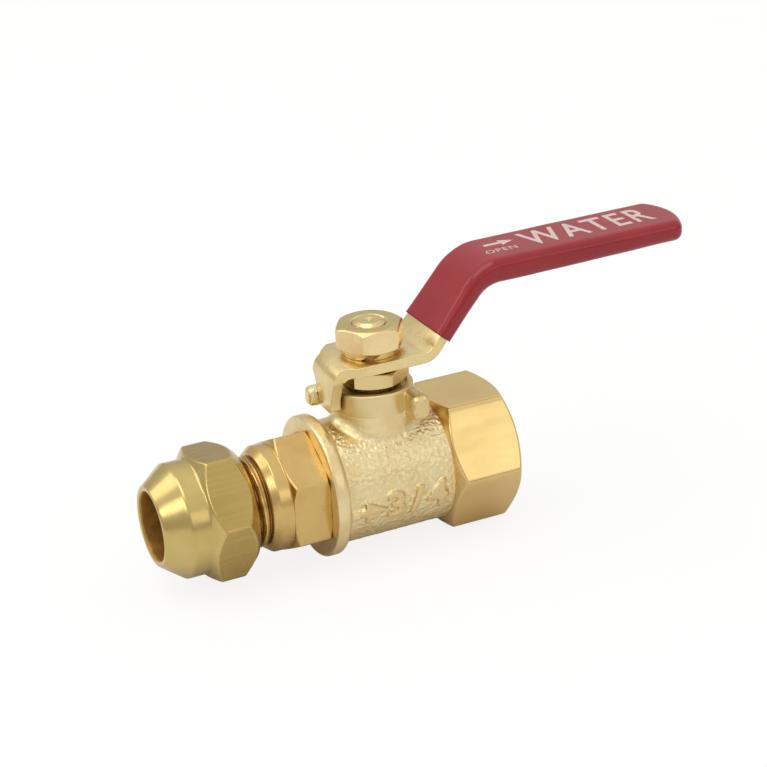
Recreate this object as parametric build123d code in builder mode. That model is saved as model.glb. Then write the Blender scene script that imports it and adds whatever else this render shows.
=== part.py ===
from build123d import *
from math import radians, sqrt, tan
import os

# Lever-operated bronze ball valve for a water line, in millimetres.
# One end is a hexagonal 3/4 inch female pipe thread, the other a 5/8 inch flare
# connection: a screwed-in end adaptor that carries a loose flare nut.
#
# Frame: the origin is on the pipe axis, in the plane of the female end's face.
# +X leaves that end along the pipe, +Z runs up the stem, and the lever lies
# along +X, which is the open position. "Stations" are distances along X from
# the ball's centre, and heights are distances above the pipe axis.

# Pipe line
centre_to_outlet = 31.4
ball_x = -centre_to_outlet
port_radius = 7.5
running_gap = 0.08
edge_break = 0.5
thread_break = 0.6

# Outlet end: female 3/4 inch parallel pipe thread, at its major diameter
outlet_thread_radius = 13.22
outlet_thread_depth = 15.5
runout_width = 1.5
outlet_hex_flats = 32.0
outlet_hex_left = 15.4
outlet_hex_right = 29.6
hex_cone_angle = 30.0

# Body casting
body_radius = 15.1
body_left = -18.0
bead_radius = 17.3
bead_width = 3.8
bead_front_round = 0.6
bead_back_round = 1.5
cavity_radius = 12.0
inlet_thread_radius = 12.75
inlet_step = -7.6
boss_radius = 9.7
boss_top = 23.5
boss_root_round = 3.0
boss_rim_chamfer = 0.4

# Stop lugs cast beside the stem boss
lug_near = 4.1
lug_root = 4.7
lug_top = 22.7
lug_round = 1.4
open_lug_width = 3.9
open_lug_reach = 14.6
open_lug_bottom = 18.0
shut_lug_width = 4.7
shut_lug_reach = 13.8
shut_lug_bottom = 16.6

# Ball and its seats
ball_radius = 11.6
seat_gap = 0.15
seat_outer_radius = 10.8
seat_front = 7.0
seat_back = 11.0
seat_lead_in = 1.0
slot_width = 5.0
slot_floor = 8.3

# Stem, packing and gland
stem_radius = 4.5
stem_hole_radius = stem_radius + running_gap
tongue_play = 0.2
tongue_width = slot_width - tongue_play
tongue_bottom = slot_floor + tongue_play
stem_flange_radius = 6.0
stem_flange_bottom = 11.9
stem_flange_top = 13.4
stem_pocket_radius = 6.4
stem_pocket_top = 14.6
thrust_washer_thickness = 1.0
packing_floor = 17.0
packing_outer_radius = 6.9
packing_ring_height = 1.4
gland_washer_thickness = 0.8
gland_mouth_radius = 8.3
gland_mouth_depth = 2.0
gland_hex_flats = 15.5
gland_hex_bottom = 24.4
gland_hex_top = 28.0
gland_hex_turn = 38.0

# Lever, cut from strip and bent
strip_thickness = 2.5
plate_bottom = 28.8
plate_top = plate_bottom + strip_thickness
plate_middle = plate_bottom + strip_thickness / 2
plate_half_width = 9.0
tab_face = -12.5
tab_middle = tab_face + strip_thickness / 2
tab_bottom = 18.8
tab_half_width_top = 6.2
tab_waist_height = 22.0
tab_waist_half_width = 3.8
tab_foot_half_width = 3.4
tab_bend_radius = 3.2
rise_start = 11.9
rise_run = 15.1
grip_rise = 17.6
rise_bend_radius = 5.0
grip_bend_radius = 11.0
grip_half_width = 7.3
tip_half_width = 7.9
lever_end = 82.4
lever_end_sag = 3.4
tip_corner_round = 2.5
waist_round = 15.0
plate_shoulder = -7.4
tab_shoulder_station = -10.6
tab_foot_round = 1.2
tab_shoulder = 27.5

# Dipped sleeve on the grip
sleeve_wall = 1.5
sleeve_start = 5.0
sleeve_round = 2.3

# Lever fixing
spindle_thread_radius = 4.0
spindle_flat_half = 3.0
spindle_top = 39.2
washer_outer_radius = 6.8
washer_thickness = 1.3
washer_slit = 0.9
washer_slit_turn = 246.0
lever_nut_flats = 15.0
lever_nut_height = 6.1
lever_nut_turn = 56.4

# End adaptor
adaptor_hex_flats = 26.2
adaptor_hex_chamfer = 0.9
adaptor_hex_left = -27.2
adaptor_hex_right = body_left
adaptor_hex_turn = -27.3
collar_radius = 12.9
collar_taper_start = -30.2
collar_left = -32.0
collar_left_radius = 11.5
adaptor_bore_radius = 6.5
adaptor_nose = -8.6
seal_inner_radius = 11.2
flare_thread_radius = 11.11
flare_thread_end = -47.2
flare_relief_radius = 10.4
flare_relief_width = 0.4
flare_cone_radius = 9.3
flare_cone_tip_radius = 7.2

# Flare nut
nut_mouth = -58.0
nut_right = -36.0
nut_bore_radius = 8.2
nut_lip_radius = 9.8
nut_cone_end = -52.4
nut_neck_radius = 13.8
nut_neck_end = -47.6
nut_hex_flats = 29.3
nut_hex_left = -45.4
nut_hex_right = -39.6
nut_hex_turn = -8.2
nut_end_radius = 13.6
nut_cone_start = -50.4
nut_edge_break = 0.3
nut_mouth_chamfer = 0.8

stem_axis = Axis((ball_x, 0, 0), (0, 0, 1))


def hex_corner(across_flats):
    """Corner radius of a hexagon."""
    return across_flats / sqrt(3)


def turned(points, mode=Mode.ADD):
    """Revolve an outline of (station, radius) points about the pipe axis."""
    with BuildSketch(Plane.XZ) as profile:
        with BuildLine():
            Polyline(*[(ball_x + station, radius) for station, radius in points], close=True)
        make_face()
    revolve(profile.sketch, axis=Axis.X, mode=mode)


def spun(points, mode=Mode.ADD):
    """Revolve an outline of (radius, height) points about the stem axis."""
    with BuildSketch(Plane.XZ) as profile:
        with BuildLine():
            Polyline(*[(ball_x + radius, height) for radius, height in points], close=True)
        make_face()
    revolve(profile.sketch, axis=stem_axis, mode=mode)


def ring(inner, outer, bottom, top, mode=Mode.ADD):
    """Plain ring about the stem axis."""
    spun([(inner, bottom), (outer, bottom), (outer, top), (inner, top)], mode)


def pipe_hex(across_flats, turn, outline):
    """Hexagon bar along the pipe, trimmed to a turned outline."""
    stations = [station for station, radius in outline]
    start = min(stations)
    with BuildPart() as blank:
        with BuildSketch(Plane.YZ.offset(ball_x + start)):
            RegularPolygon(across_flats / 2, 6, major_radius=False, rotation=turn)
        extrude(amount=max(stations) - start)
        turned(outline, mode=Mode.INTERSECT)
    return blank.part


def stem_hex(across_flats, turn, bottom, top, chamfer_top, chamfer_bottom):
    """Hexagon nut blank about the stem axis, its corners turned off at 30 degrees."""
    corner = hex_corner(across_flats)
    slope = tan(radians(hex_cone_angle))
    with BuildPart() as blank:
        with BuildSketch(Plane((ball_x, 0, bottom))):
            RegularPolygon(across_flats / 2, 6, major_radius=False, rotation=turn)
        extrude(amount=top - bottom)
        spun(
            [
                (0, bottom),
                (corner - chamfer_bottom / slope, bottom),
                (corner, bottom + chamfer_bottom),
                (corner, top - chamfer_top),
                (corner - chamfer_top / slope, top),
                (0, top),
            ],
            mode=Mode.INTERSECT,
        )
    return blank.part


# ---------------------------------------------------------------- body casting
cone_slope = tan(radians(hex_cone_angle))
outlet_corner = hex_corner(outlet_hex_flats)
outlet_hex = pipe_hex(
    outlet_hex_flats,
    0,
    [
        (outlet_hex_left - (outlet_corner - body_radius) * cone_slope, 0),
        (outlet_hex_left - (outlet_corner - body_radius) * cone_slope, body_radius),
        (outlet_hex_left, outlet_corner),
        (outlet_hex_right, outlet_corner),
        (centre_to_outlet, outlet_corner - (centre_to_outlet - outlet_hex_right) / cone_slope),
        (centre_to_outlet, 0),
    ],
)


def stop_lug(place, size_x, size_y, bottom):
    """Rounded lug whose inner end is buried in the stem boss."""
    with BuildPart() as lug:
        with BuildSketch(Plane((ball_x, 0, bottom))):
            with Locations(place):
                Rectangle(size_x, size_y, align=(Align.MIN, Align.MIN))
        extrude(amount=lug_top - bottom)
        fillet(lug.edges(), lug_round)
    return lug.part


# One lug stops the lever open, the other a quarter turn on, shut.
lug_inner_end = boss_radius - lug_root
open_lug = stop_lug(
    (-open_lug_reach, lug_near),
    open_lug_reach - lug_inner_end,
    open_lug_width,
    open_lug_bottom,
)
shut_lug = stop_lug(
    (lug_near, -shut_lug_reach),
    shut_lug_width,
    shut_lug_reach - lug_inner_end,
    shut_lug_bottom,
)
packing_top = packing_floor + 3 * packing_ring_height
gland_shank_bottom = packing_top + gland_washer_thickness

with BuildPart() as body_casting:
    turned([(body_left, 0), (body_left, body_radius), (outlet_hex_left, body_radius), (outlet_hex_left, 0)])
    ring(0, boss_radius, 0, boss_top)
    boss_root = (
        body_casting.edges()
        .filter_by(GeomType.CIRCLE, reverse=True)
        .filter_by(GeomType.LINE, reverse=True)
        .filter_by_position(Axis.Z, body_radius / 2, body_radius)
    )
    fillet(boss_root, boss_root_round)
    with BuildSketch(Plane.XZ) as bead_profile:
        with Locations((ball_x + body_left, 0)):
            Rectangle(bead_width, bead_radius, align=(Align.MIN, Align.MIN))
        front_corner = bead_profile.vertices().group_by(Axis.X)[0].sort_by(Axis.Y)[-1]
        fillet(front_corner, bead_front_round)
        back_corner = bead_profile.vertices().group_by(Axis.X)[-1].sort_by(Axis.Y)[-1]
        fillet(back_corner, bead_back_round)
    revolve(bead_profile.sketch, axis=Axis.X)
    add(outlet_hex)
    add(open_lug)
    add(shut_lug)
    boss_rim = body_casting.faces().sort_by(Axis.Z)[-1].edges()
    chamfer(boss_rim, boss_rim_chamfer)
    # Water way, from the inlet thread through the ball chamber to the outlet thread
    turned(
        [
            (body_left, 0),
            (body_left, inlet_thread_radius + edge_break),
            (body_left + edge_break, inlet_thread_radius),
            (inlet_step, inlet_thread_radius),
            (inlet_step, cavity_radius),
            (seat_front, cavity_radius),
            (seat_front, seat_outer_radius),
            (seat_back, seat_outer_radius),
            (seat_back, port_radius),
            (centre_to_outlet - outlet_thread_depth - runout_width, port_radius),
            (centre_to_outlet - outlet_thread_depth, outlet_thread_radius),
            (centre_to_outlet - edge_break, outlet_thread_radius),
            (centre_to_outlet, outlet_thread_radius + edge_break),
            (centre_to_outlet, 0),
        ],
        mode=Mode.SUBTRACT,
    )
    # Stem way, from the flange pocket through the packing chamber to the gland thread
    spun(
        [
            (0, 0),
            (stem_pocket_radius, 0),
            (stem_pocket_radius, stem_pocket_top),
            (stem_hole_radius, stem_pocket_top),
            (stem_hole_radius, packing_floor),
            (packing_outer_radius, packing_floor),
            (packing_outer_radius, boss_top - gland_mouth_depth),
            (gland_mouth_radius, boss_top - gland_mouth_depth),
            (gland_mouth_radius, boss_top),
            (0, boss_top),
        ],
        mode=Mode.SUBTRACT,
    )

# --------------------------------------------------------------- ball and seats
with BuildPart() as ball:
    with Locations((ball_x, 0, 0)):
        Sphere(ball_radius)
    turned(
        [(-ball_radius, 0), (-ball_radius, port_radius), (ball_radius, port_radius), (ball_radius, 0)],
        mode=Mode.SUBTRACT,
    )
    # The drive slot lies across the water way while the valve is open.
    with BuildSketch(Plane((ball_x, 0, slot_floor))):
        Rectangle(slot_width, 2 * ball_radius)
    extrude(amount=ball_radius, mode=Mode.SUBTRACT)


def seat_ring(side):
    """PTFE seat ring, on the outlet side (+1) or the inlet side (-1) of the ball."""
    with BuildPart() as seat:
        with BuildSketch(Plane.XZ) as profile:
            with Locations((ball_x + side * seat_front, port_radius)):
                Rectangle(
                    seat_back - seat_front,
                    seat_outer_radius - port_radius,
                    align=(Align.MIN if side > 0 else Align.MAX, Align.MIN),
                )
            with Locations((ball_x, 0)):
                Circle(ball_radius + seat_gap, mode=Mode.SUBTRACT)
        revolve(axis=Axis.X)
    return seat


seat_ring_outlet = seat_ring(1)
seat_ring_inlet = seat_ring(-1)

with BuildPart() as body_seal_ring:
    turned(
        [
            (adaptor_nose, seal_inner_radius),
            (adaptor_nose, inlet_thread_radius),
            (inlet_step, inlet_thread_radius),
            (inlet_step, seal_inner_radius),
        ]
    )

# ------------------------------------------------------------------ end adaptor
adaptor_corner = hex_corner(adaptor_hex_flats)
adaptor_hex = pipe_hex(
    adaptor_hex_flats,
    adaptor_hex_turn,
    [
        (adaptor_hex_left, 0),
        (adaptor_hex_left, adaptor_corner - adaptor_hex_chamfer / cone_slope),
        (adaptor_hex_left + adaptor_hex_chamfer, adaptor_corner),
        (adaptor_hex_right - adaptor_hex_chamfer / 2, adaptor_corner),
        (adaptor_hex_right, adaptor_corner - adaptor_hex_chamfer / 2 / cone_slope),
        (adaptor_hex_right, 0),
    ],
)
flare_cone_base = flare_thread_end - thread_break

with BuildPart() as end_adaptor:
    add(adaptor_hex)
    turned(
        [
            (adaptor_nose, 0),
            (adaptor_nose, inlet_thread_radius - thread_break),
            (adaptor_nose - thread_break, inlet_thread_radius),
            (body_left, inlet_thread_radius),
            (adaptor_hex_left, inlet_thread_radius),
            (adaptor_hex_left, collar_radius),
            (collar_taper_start, collar_radius),
            (collar_left, collar_left_radius),
            (collar_left, flare_relief_radius),
            (collar_left - flare_relief_width, flare_relief_radius),
            (collar_left - flare_relief_width, flare_thread_radius - thread_break),
            (collar_left - flare_relief_width - thread_break, flare_thread_radius),
            (flare_thread_end, flare_thread_radius),
            (flare_cone_base, flare_cone_radius),
            (flare_cone_base - (flare_cone_radius - flare_cone_tip_radius), flare_cone_tip_radius),
            (flare_cone_base - (flare_cone_radius - flare_cone_tip_radius), 0),
        ]
    )
    turned(
        [
            (nut_mouth, 0),
            (nut_mouth, adaptor_bore_radius),
            (-seat_back - seat_lead_in, adaptor_bore_radius),
            (-seat_back, port_radius),
            (-seat_back, seat_outer_radius),
            (adaptor_nose, seat_outer_radius),
            (adaptor_nose, 0),
        ],
        mode=Mode.SUBTRACT,
    )

# -------------------------------------------------------------------- flare nut
nut_corner = hex_corner(nut_hex_flats)
nut_thread_radius = flare_thread_radius + running_gap
nut_hex = pipe_hex(
    nut_hex_flats,
    nut_hex_turn,
    [
        (nut_neck_end, 0),
        (nut_neck_end, nut_neck_radius),
        (nut_hex_left, nut_corner),
        (nut_hex_right, nut_corner),
        (nut_right, nut_end_radius - nut_edge_break),
        (nut_right, 0),
    ],
)

with BuildPart() as flare_nut:
    add(nut_hex)
    turned(
        [
            (nut_mouth, 0),
            (nut_mouth, nut_lip_radius - nut_edge_break),
            (nut_mouth + nut_edge_break, nut_lip_radius),
            (nut_cone_end, nut_neck_radius),
            (nut_hex_left, nut_neck_radius),
            (nut_hex_left, 0),
        ]
    )
    turned(
        [
            (nut_mouth, 0),
            (nut_mouth, nut_bore_radius + edge_break),
            (nut_mouth + edge_break, nut_bore_radius),
            (nut_cone_start, nut_bore_radius),
            (nut_cone_start + nut_thread_radius - nut_bore_radius, nut_thread_radius),
            (nut_right - nut_mouth_chamfer, nut_thread_radius),
            (nut_right, nut_thread_radius + nut_mouth_chamfer),
            (nut_right, 0),
        ],
        mode=Mode.SUBTRACT,
    )

# ------------------------------------------------------- stem, packing and gland
with BuildPart() as stem:
    with BuildSketch(Plane((ball_x, 0, tongue_bottom))):
        Rectangle(tongue_width, 2 * stem_radius)
    extrude(amount=stem_flange_bottom - tongue_bottom)
    ring(0, stem_radius, tongue_bottom, stem_flange_bottom, mode=Mode.INTERSECT)
    spun(
        [
            (0, stem_flange_bottom),
            (stem_flange_radius, stem_flange_bottom),
            (stem_flange_radius, stem_flange_top),
            (stem_radius, stem_flange_top),
            (stem_radius, plate_bottom),
            (spindle_thread_radius, plate_bottom),
            (spindle_thread_radius, spindle_top - thread_break),
            (spindle_thread_radius - thread_break, spindle_top),
            (0, spindle_top),
        ]
    )
    # Flats that drive the lever
    with BuildSketch(Plane((ball_x, 0, plate_bottom))):
        with Locations(
            (0, spindle_flat_half + spindle_thread_radius),
            (0, -spindle_flat_half - spindle_thread_radius),
        ):
            Rectangle(4 * spindle_thread_radius, 2 * spindle_thread_radius)
    extrude(amount=strip_thickness, mode=Mode.SUBTRACT)

with BuildPart() as stem_thrust_washer:
    washer_bottom = stem_pocket_top - thrust_washer_thickness
    ring(stem_hole_radius, stem_pocket_radius - seat_gap, washer_bottom, stem_pocket_top)


def packing_ring(layer):
    """One flat PTFE packing ring; layer 0 is the lowest."""
    bottom = packing_floor + layer * packing_ring_height
    with BuildPart() as packing:
        ring(stem_hole_radius, packing_outer_radius, bottom, bottom + packing_ring_height)
    return packing


packing_ring_lower = packing_ring(0)
packing_ring_middle = packing_ring(1)
packing_ring_upper = packing_ring(2)

with BuildPart() as gland_washer:
    ring(stem_hole_radius, packing_outer_radius, packing_top, gland_shank_bottom)

with BuildPart() as gland_nut:
    add(stem_hex(gland_hex_flats, gland_hex_turn, gland_hex_bottom, gland_hex_top, thread_break, edge_break))
    ring(0, packing_outer_radius, gland_shank_bottom, gland_hex_bottom)
    ring(0, stem_hole_radius, gland_shank_bottom, gland_hex_top, mode=Mode.SUBTRACT)

# ------------------------------------------------------------------------ lever
grip_middle = plate_middle + grip_rise
rise_end = rise_start + rise_run
rise_length = sqrt(rise_run**2 + grip_rise**2)


def plan_outline(grow=0):
    """Sketch of the lever seen from above, grown by a margin all round."""
    tip = ball_x + lever_end + grow
    corner = tip - lever_end_sag
    with BuildSketch() as outline:
        with BuildLine():
            near = Polyline(
                (corner, tip_half_width + grow),
                (ball_x + rise_end, grip_half_width + grow),
                (ball_x + rise_start, plate_half_width + grow),
                (ball_x + plate_shoulder, plate_half_width + grow),
                (ball_x + tab_shoulder_station, tab_half_width_top + grow),
                (ball_x + tab_face - grow, tab_half_width_top + grow),
            )
            far = mirror(near, about=Plane.XZ)
            Line(near @ 1, far @ 1)
            ThreePointArc(near @ 0, (tip, 0), far @ 0)
        make_face()
        fillet(outline.vertices().group_by(Axis.X)[-1], tip_corner_round)
        waist = outline.vertices().filter_by_position(Axis.X, ball_x + rise_end - 1, ball_x + rise_end + 1)
        fillet(waist, waist_round)
    return outline.sketch


with BuildPart() as lever:
    with BuildLine(Plane.XZ) as strip_line:
        FilletPolyline(
            (ball_x + tab_middle, tab_bottom),
            (ball_x + tab_middle, plate_middle),
            (ball_x + rise_start, plate_middle),
            (ball_x + rise_end, grip_middle),
            (ball_x + lever_end, grip_middle),
            radius=[tab_bend_radius, rise_bend_radius, grip_bend_radius],
        )
    with BuildSketch(Plane(strip_line.line @ 0, x_dir=(0, 1, 0), z_dir=strip_line.line % 0)):
        Rectangle(2 * plate_half_width, strip_thickness)
    sweep(path=strip_line.line)
    extrude(plan_outline(), amount=2 * grip_middle, mode=Mode.INTERSECT)
    # The tab narrows towards its foot, which has rounded corners.
    with BuildSketch(Plane.YZ.offset(ball_x + tab_face)) as end_view:
        with BuildLine():
            Polyline(
                (-plate_half_width, tab_shoulder),
                (-tab_half_width_top, tab_shoulder),
                (-tab_waist_half_width, tab_waist_height),
                (-tab_foot_half_width, tab_bottom),
                (tab_foot_half_width, tab_bottom),
                (tab_waist_half_width, tab_waist_height),
                (tab_half_width_top, tab_shoulder),
                (plate_half_width, tab_shoulder),
                (plate_half_width, grip_middle + strip_thickness),
                (-plate_half_width, grip_middle + strip_thickness),
                close=True,
            )
        make_face()
        fillet(end_view.vertices().group_by(Axis.Y)[0], tab_foot_round)
    extrude(amount=lever_end - tab_face, mode=Mode.INTERSECT)
    # Double-D hole over the stem's flats
    with BuildSketch(Plane((ball_x, 0, plate_bottom))):
        Circle(spindle_thread_radius)
        Rectangle(2 * spindle_thread_radius, 2 * spindle_flat_half, mode=Mode.INTERSECT)
    extrude(amount=strip_thickness, mode=Mode.SUBTRACT)

with BuildPart() as lever_sleeve:
    with BuildLine(Plane.XZ) as sleeve_line:
        FilletPolyline(
            (
                ball_x + rise_start + sleeve_start * rise_run / rise_length,
                plate_middle + sleeve_start * grip_rise / rise_length,
            ),
            (ball_x + rise_end, grip_middle),
            (ball_x + lever_end + sleeve_wall, grip_middle),
            radius=grip_bend_radius,
        )
    with BuildSketch(Plane(sleeve_line.line @ 0, x_dir=(0, 1, 0), z_dir=sleeve_line.line % 0)):
        Rectangle(2 * (plate_half_width + sleeve_wall), strip_thickness + 2 * sleeve_wall)
    sweep(path=sleeve_line.line)
    extrude(plan_outline(sleeve_wall), amount=2 * grip_middle, mode=Mode.INTERSECT)
    mouth = lever_sleeve.faces().sort_by(Axis.X)[0]
    rim_edges = lever_sleeve.edges() - lever_sleeve.edges().filter_by(Axis.Z) - mouth.edges()
    fillet(rim_edges, sleeve_round)
    add(lever.part, mode=Mode.SUBTRACT)

# ----------------------------------------------------------------- lever fixing
washer_top = plate_top + washer_thickness

with BuildPart() as spring_washer:
    ring(spindle_thread_radius, washer_outer_radius, plate_top, washer_top)
    with BuildSketch(Plane((ball_x, 0, plate_top))):
        with PolarLocations(washer_outer_radius, 1, washer_slit_turn):
            Rectangle(2 * washer_outer_radius, washer_slit)
    extrude(amount=washer_thickness, mode=Mode.SUBTRACT)

with BuildPart() as lever_nut:
    lever_nut_top = washer_top + lever_nut_height
    add(stem_hex(lever_nut_flats, lever_nut_turn, washer_top, lever_nut_top, thread_break, thread_break))
    ring(0, spindle_thread_radius, washer_top, lever_nut_top, mode=Mode.SUBTRACT)

# ----------------------------------------------------------------- write pieces
pieces = {
    "body_casting": body_casting,
    "body_seal_ring": body_seal_ring,
    "end_adaptor": end_adaptor,
    "flare_nut": flare_nut,
    "ball": ball,
    "seat_ring_outlet": seat_ring_outlet,
    "seat_ring_inlet": seat_ring_inlet,
    "stem": stem,
    "stem_thrust_washer": stem_thrust_washer,
    "packing_ring_lower": packing_ring_lower,
    "packing_ring_middle": packing_ring_middle,
    "packing_ring_upper": packing_ring_upper,
    "gland_washer": gland_washer,
    "gland_nut": gland_nut,
    "lever": lever,
    "lever_sleeve": lever_sleeve,
    "spring_washer": spring_washer,
    "lever_nut": lever_nut,
}
os.makedirs("parts", exist_ok=True)
for name, piece in pieces.items():
    piece.part.label = name
    export_step(piece.part, f"parts/{name}.step")
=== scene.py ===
"""A bronze ball valve with a dipped lever: its looks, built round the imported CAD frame."""

import math

import bmesh
import bpy
from mathutils import Matrix, Vector, noise
from mathutils.bvhtree import BVHTree


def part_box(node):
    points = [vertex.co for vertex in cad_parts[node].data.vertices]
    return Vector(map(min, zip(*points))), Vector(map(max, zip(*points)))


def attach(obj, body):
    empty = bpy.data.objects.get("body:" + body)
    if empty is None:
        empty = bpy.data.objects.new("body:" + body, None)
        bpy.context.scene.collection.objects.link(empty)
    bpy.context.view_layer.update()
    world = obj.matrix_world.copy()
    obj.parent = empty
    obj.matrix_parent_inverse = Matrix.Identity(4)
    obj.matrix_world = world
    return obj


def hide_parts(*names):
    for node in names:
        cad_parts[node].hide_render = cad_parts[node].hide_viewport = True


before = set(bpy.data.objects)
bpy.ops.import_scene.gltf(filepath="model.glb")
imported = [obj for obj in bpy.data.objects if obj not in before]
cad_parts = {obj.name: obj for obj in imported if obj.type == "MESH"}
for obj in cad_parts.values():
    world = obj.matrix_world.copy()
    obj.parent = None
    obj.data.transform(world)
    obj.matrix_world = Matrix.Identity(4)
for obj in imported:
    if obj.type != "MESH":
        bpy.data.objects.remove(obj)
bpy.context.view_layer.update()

# Lengths are in millimetres and turned into metres where meshes are made.
# Stations are distances along the pipe (+X) from the ball's centre.
MM = 0.001
TAU = 2 * math.pi
ROUND_STEPS = 216
SECTOR_STEPS = 40

stem_low, stem_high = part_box("stem")
body_low, body_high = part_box("body_casting")
nut_low, nut_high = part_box("flare_nut")
sleeve_low, sleeve_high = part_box("lever_sleeve")
gland_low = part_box("gland_nut")[0]
lever_nut_low, lever_nut_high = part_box("lever_nut")
washer_low, washer_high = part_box("spring_washer")
floor_height = body_low.z

ball_x = (stem_low.x + stem_high.x) / 2 / MM
outlet = body_high.x / MM - ball_x
body_left = body_low.x / MM - ball_x
nut_mouth = nut_low.x / MM - ball_x
nut_right = nut_high.x / MM - ball_x
lever_nut_bottom, lever_nut_top = lever_nut_low.z / MM, lever_nut_high.z / MM
washer_bottom, washer_top = washer_low.z / MM, washer_high.z / MM
boss_top = body_high.z / MM
spindle_top = stem_high.z / MM

# Threads: pitch and depth on the pipe and on the spindle, and the flare thread's radius
PIPE_PITCH, PIPE_DEPTH = 1.814, 1.0
SPINDLE_PITCH, SPINDLE_DEPTH = 1.25, 0.7
FLARE_RADIUS = 11.11

# Values that the casting's mesh carries at its points for its material
SKIN = "rough_skin"
LEGEND_SHADE = "legend_painted_shade"


# ------------------------------------------------------------------ mesh tools
def place_pipe(station, radius, angle):
    """Point at a station on the pipe; the angle runs from +Y towards +Z."""
    return Vector((ball_x + station, radius * math.cos(angle), radius * math.sin(angle))) * MM


def place_stem(height, radius, angle):
    """Point at a height on the stem; the angle runs from +X towards +Y."""
    return Vector((ball_x + radius * math.cos(angle), radius * math.sin(angle), height)) * MM


def softened(outline, reach):
    """Closed outline with each corner drawn as a short curve."""
    curve = []
    for i, corner in enumerate(outline):
        corner = Vector(corner)
        before = Vector(outline[i - 1]) - corner
        after = Vector(outline[(i + 1) % len(outline)]) - corner
        start = corner + before.normalized() * min(reach, 0.45 * before.length)
        end = corner + after.normalized() * min(reach, 0.45 * after.length)
        for t in (0, 0.33, 0.67, 1):
            curve.append(start * (1 - t) ** 2 + corner * 2 * t * (1 - t) + end * t * t)
    return curve


def divided(curve, step):
    """Closed curve cut into pieces no longer than a step."""
    points = []
    for i, point in enumerate(curve):
        after = curve[(i + 1) % len(curve)]
        count = max(1, math.ceil((after - point).length / step))
        points += [point.lerp(after, k / count) for k in range(count)]
    return points


def smooth_min(a, b, blend):
    """Smaller of two numbers, eased where they are close."""
    share = max(blend - abs(a - b), 0) / blend
    return min(a, b) - share * share * blend / 4


def hexagon(flats, turn, start, end, blend=0.35):
    """Shape that trims a turned outline to a hexagon with softened corners."""
    def shape(station, radius, angle):
        if not start <= station <= end:
            return radius
        offset = (angle - turn) % (TAU / 6) - TAU / 12
        return smooth_min(radius, flats / 2 / math.cos(offset), blend)
    return shape


def thread(pitch, depth, start, end, wall):
    """Shape that cuts a right-hand thread into the wall of one radius."""
    def shape(station, radius, angle):
        run = min(station - start, end - station) / pitch
        if run <= 0 or abs(radius - wall) > 0.05:
            return radius
        phase = (station / pitch - angle / TAU) % 1
        flank = min(max((abs(2 * phase - 1) - 0.12) / 0.7, 0), 1)
        return radius - depth * min(1, run) * (1 - flank)
    return shape


def hex_angles(turn):
    """Angles packed closely at the corners of a hexagon."""
    angles = []
    for sector in range(6):
        for k in range(SECTOR_STEPS):
            t = 2 * k / SECTOR_STEPS - 1
            offset = math.copysign(1 - (1 - abs(t)) ** 1.8, t) * TAU / 12
            angles.append(turn + (sector + 0.5) * TAU / 6 + offset)
    return angles


def mesh_object(name, mesh):
    """Object from a bmesh, which it welds and frees."""
    bmesh.ops.remove_doubles(mesh, verts=mesh.verts, dist=1e-7)
    bmesh.ops.recalc_face_normals(mesh, faces=mesh.faces)
    data = bpy.data.meshes.new(name)
    mesh.to_mesh(data)
    mesh.free()
    return data_object(name, data)


def data_object(name, data, crisp=40):
    """Object in the scene, smooth but for edges sharper than an angle in degrees."""
    data.shade_smooth()
    data.set_sharp_from_angle(angle=math.radians(crisp))
    obj = bpy.data.objects.new(name, data)
    bpy.context.scene.collection.objects.link(obj)
    return obj


def lathe(name, outline, place, shapes=(), soft=0.2, step=0.4, angles=None, arc=TAU):
    """Turns a closed outline of (station, radius) about an axis, bent by the shapes."""
    closed = arc == TAU
    angles = angles or [TAU * k / ROUND_STEPS for k in range(ROUND_STEPS)]
    points = divided(softened(outline, soft), step)
    mesh = bmesh.new()
    rings = []
    for angle in angles:
        ring = []
        for station, radius in points:
            for shape in shapes:
                radius = shape(station, radius, angle)
            ring.append(mesh.verts.new(place(station, radius, angle)))
        rings.append(ring)
    count = len(points)
    for i in range(len(rings) if closed else len(rings) - 1):
        here, there = rings[i], rings[(i + 1) % len(rings)]
        for k in range(count):
            after = (k + 1) % count
            mesh.faces.new((here[k], here[after], there[after], there[k]))
    if not closed:
        mesh.faces.new(rings[0])
        mesh.faces.new(rings[-1])
    return mesh_object(name, mesh)


def cad_mesh(node):
    """A welded copy of a CAD node's mesh."""
    mesh = bmesh.new()
    mesh.from_mesh(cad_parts[node].data)
    bmesh.ops.remove_doubles(mesh, verts=mesh.verts, dist=1e-7)
    return mesh


def evaluated(name, mesh, *modifiers):
    """Object whose mesh is the given one after its modifiers, each (kind, {settings})."""
    data = bpy.data.meshes.new(name)
    mesh.to_mesh(data)
    mesh.free()
    draft = bpy.data.objects.new(name + ".draft", data)
    bpy.context.scene.collection.objects.link(draft)
    for kind, settings in modifiers:
        modifier = draft.modifiers.new(kind, kind)
        for key, value in settings.items():
            setattr(modifier, key, value)
    final = bpy.data.meshes.new_from_object(draft.evaluated_get(bpy.context.evaluated_depsgraph_get()))
    bpy.data.objects.remove(draft)
    final.name = name
    return final


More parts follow.
